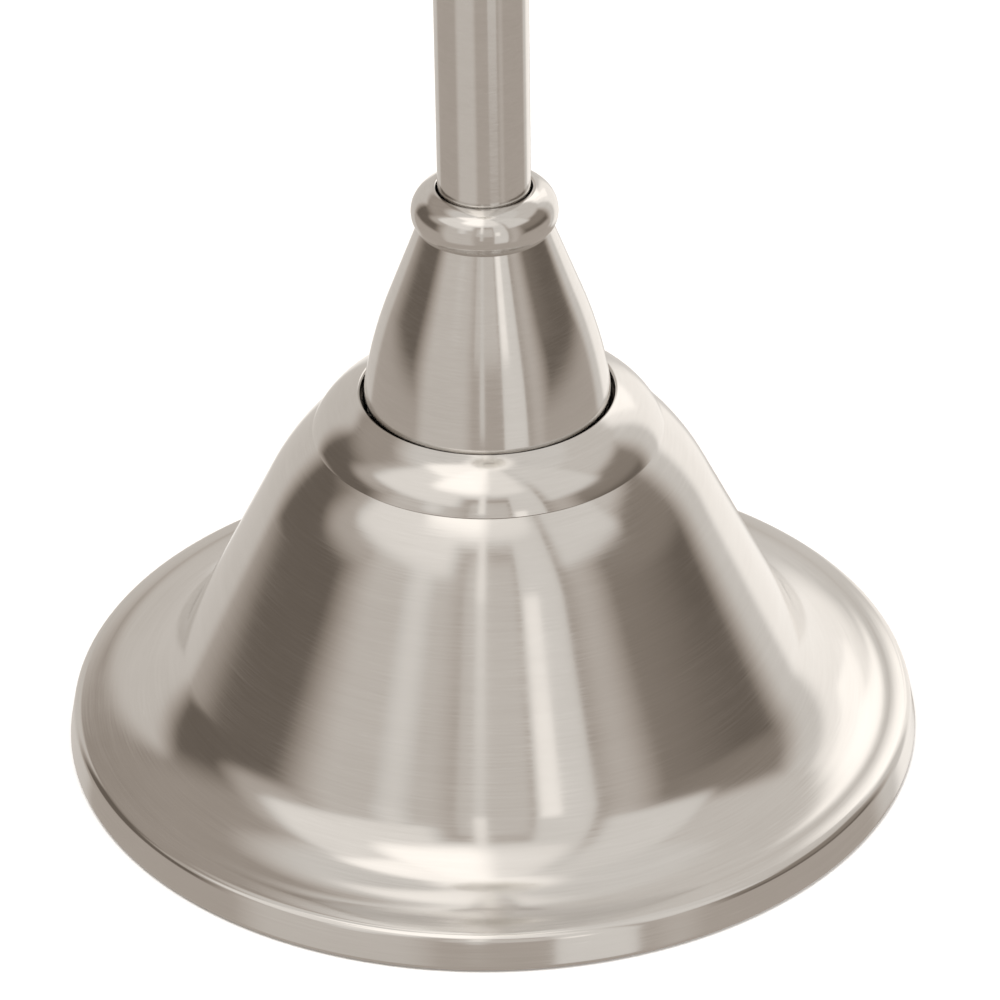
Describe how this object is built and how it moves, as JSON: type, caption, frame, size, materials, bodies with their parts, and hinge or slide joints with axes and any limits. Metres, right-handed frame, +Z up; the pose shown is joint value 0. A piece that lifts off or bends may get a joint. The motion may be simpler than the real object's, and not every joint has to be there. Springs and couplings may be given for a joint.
{
  "type": "torchiere floor lamp",
  "caption": "Torchiere floor lamp with a round weighted bell base in brushed nickel, a sectional pole with a turn switch, and a glass uplight bowl.",
  "frame": {"origin": "on the pole's axis at floor level, under the centre of the base", "axes": "+Z up along the pole; -Y is the front, where the switch knob is; the lead enters at +Y"},
  "size_m": [0.3599, 0.36, 1.7997],
  "materials": {
    "felt": "dense needled felt",
    "iron": "as cast, black primer",
    "brushed_nickel": "warm satin nickel plate, brushed around the axis, clear lacquer",
    "black_plastic": "moulded, fine matt",
    "zinc": "zinc plated",
    "rubber": "matt silicone",
    "bowl_glass": "pressed, frosted inside, satin outside",
    "brass": "satin",
    "porcelain": "white glaze",
    "bulb_metal": "rolled thread, bare",
    "bulb_glass": "soft white coat inside",
    "lead_jacket": "smooth sheath"
  },
  "bodies": {
    "lamp": {"felt_pad": "felt", "base_weight": "iron", "base_shell": "brushed_nickel", "cord_bushing": "black_plastic", "clamp_rod": "zinc", "rod_nut": "zinc", "rod_washer": "zinc", "base_collar": "brushed_nickel", "neck_cone": "brushed_nickel", "neck_bead": "brushed_nickel", "pole_lower": "brushed_nickel", "pole_middle": "brushed_nickel", "pole_upper": "brushed_nickel", "pole_plugs": "zinc", "pole_nipples": "zinc", "switch_body": "black_plastic", "switch_seat": "brushed_nickel", "switch_ring_nut": "brushed_nickel", "top_bead": "brushed_nickel", "top_cone": "brushed_nickel", "top_collar": "brushed_nickel", "seat_plate": "zinc", "bowl_gasket": "rubber", "top_nipple": "zinc", "lock_washer": "zinc", "lock_nut": "zinc", "socket_cap": "brass", "socket_body": "porcelain", "screw_shell": "brass", "centre_contact": "brass", "lead_lower": "lead_jacket", "lead_upper": "lead_jacket"},
    "knob": {"switch_shaft": "zinc", "switch_knob": "brushed_nickel"},
    "bowl": {"glass_bowl": "bowl_glass"},
    "bulb": {"bulb_cap": "bulb_metal", "bulb_tip": "black_plastic", "bulb_glass": "bulb_glass"}
  },
  "joints": [
    {"name": "switch_turn", "type": "hinge", "parent": "lamp", "child": "knob", "pos_m": [0, -0.02, 1.38], "axis": [0, -1, 0], "continuous": true},
    {"name": "bowl_lift", "type": "slide", "parent": "lamp", "child": "bowl", "axis": [0, 0, 1], "range_m": [0, 0.12]},
    {"name": "bulb_out", "type": "slide", "parent": "lamp", "child": "bulb", "axis": [0, 0, 1], "range_m": [0, 0.16]}
  ]
}
